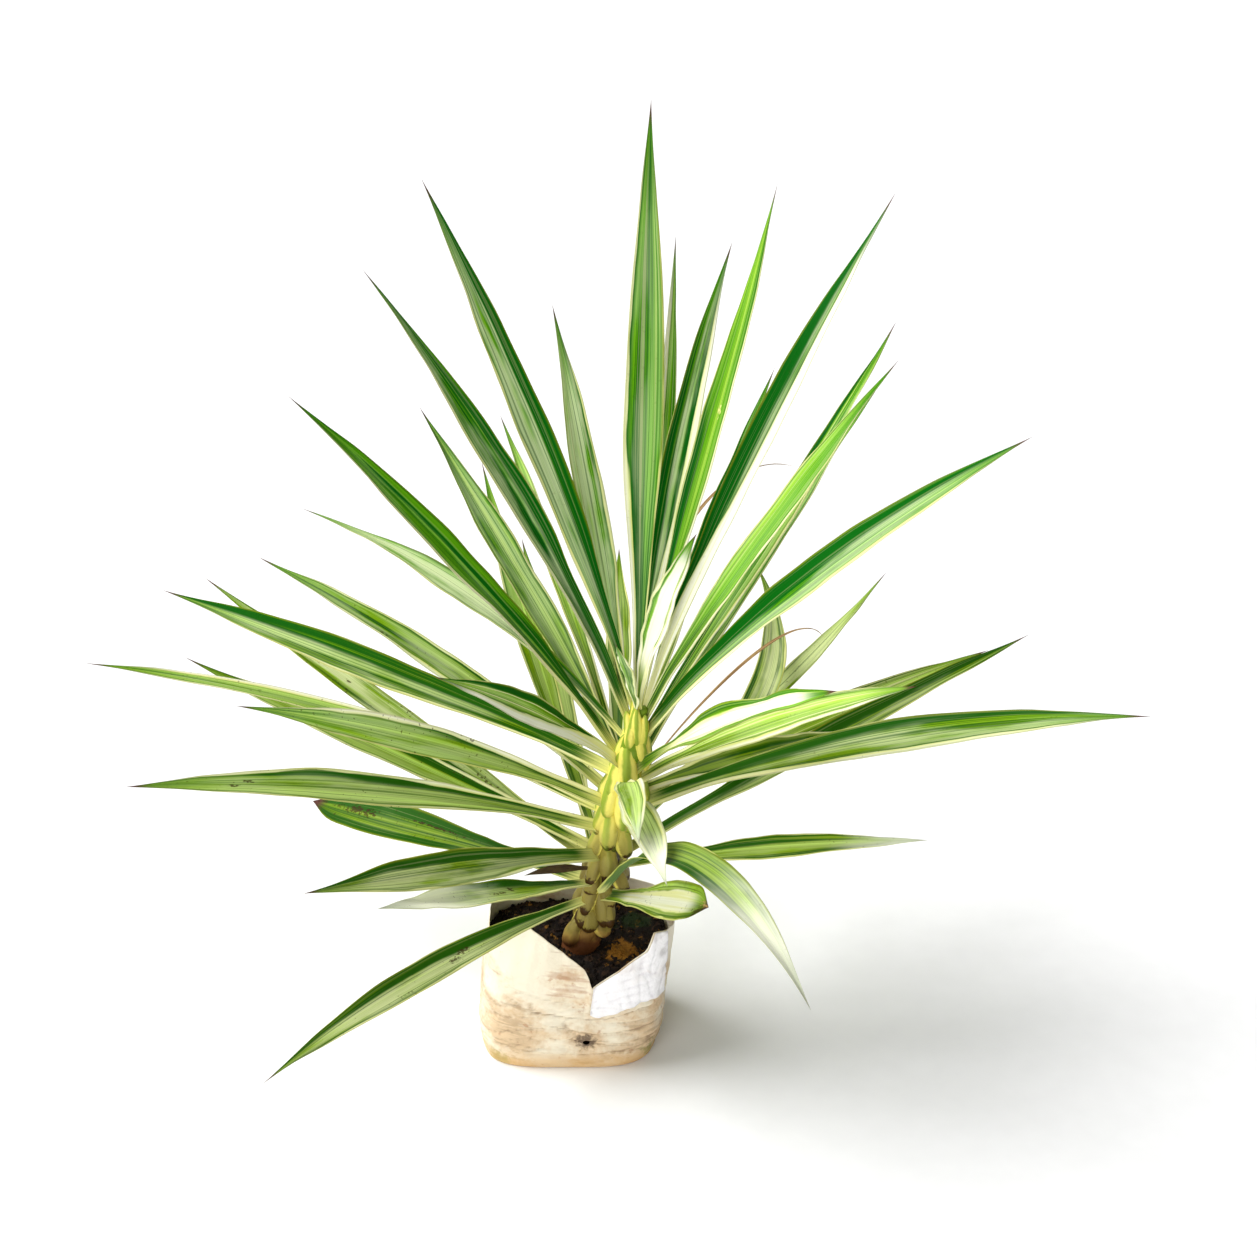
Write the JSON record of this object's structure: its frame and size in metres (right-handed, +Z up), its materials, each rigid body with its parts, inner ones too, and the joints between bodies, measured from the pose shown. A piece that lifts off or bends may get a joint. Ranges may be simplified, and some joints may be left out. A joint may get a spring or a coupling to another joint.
{
  "type": "potted yucca",
  "caption": "Variegated yucca: a rosette of long channelled sword leaves on a short leaning stem, rooted in soil in a squared soft grow bag with a split rim.",
  "frame": {"origin": "middle of the flat base of the grow bag, on the floor", "axes": "+Z up; +X to the viewer's right, the way the stem leans; +Y away from the viewer; the split in the bag's rim faces -Y"},
  "size_m": [0.8668, 0.7336, 0.7927],
  "materials": {
    "bag_film": "satin",
    "soil": "matte",
    "stem": "satin",
    "leaf_green": "satin",
    "leaf_glaucous": "satin",
    "leaf_cream": "satin",
    "dry_leaf": "matte"
  },
  "bodies": {
    "root": {"grow_bag": "bag_film", "soil": "soil", "stem": "stem", "leaf_01": "leaf_cream", "leaf_02": "leaf_glaucous", "leaf_03": "leaf_green", "leaf_04": "leaf_green", "leaf_05": "leaf_green", "leaf_06": "leaf_green", "leaf_07": "leaf_cream", "leaf_08": "leaf_green", "leaf_09": "leaf_green", "leaf_10": "leaf_glaucous", "leaf_11": "leaf_glaucous", "leaf_12": "leaf_green", "leaf_13": "leaf_green", "leaf_14": "leaf_green", "leaf_15": "leaf_cream", "leaf_16": "leaf_cream", "leaf_17": "leaf_cream", "leaf_18": "leaf_green", "leaf_19": "leaf_glaucous", "leaf_20": "leaf_glaucous", "leaf_21": "leaf_green", "leaf_22": "leaf_glaucous", "leaf_23": "leaf_green", "leaf_24": "leaf_cream", "leaf_25": "leaf_green", "leaf_26": "leaf_green", "leaf_27": "leaf_green", "leaf_28": "leaf_green", "leaf_29": "leaf_glaucous", "leaf_30": "leaf_green", "leaf_31": "leaf_green", "leaf_32": "leaf_green", "leaf_33": "leaf_cream", "leaf_34": "leaf_glaucous", "leaf_35": "leaf_green", "leaf_36": "leaf_green", "leaf_37": "leaf_green", "leaf_38": "leaf_green", "leaf_39": "leaf_green", "leaf_40": "leaf_glaucous", "leaf_41": "leaf_glaucous", "leaf_42": "leaf_cream", "leaf_43": "leaf_green", "leaf_44": "leaf_glaucous", "leaf_45": "leaf_cream", "leaf_46": "leaf_cream", "leaf_47": "leaf_green", "dry_leaf_01": "dry_leaf", "dry_leaf_02": "dry_leaf", "dry_leaf_03": "dry_leaf"}
  },
  "joints": []
}
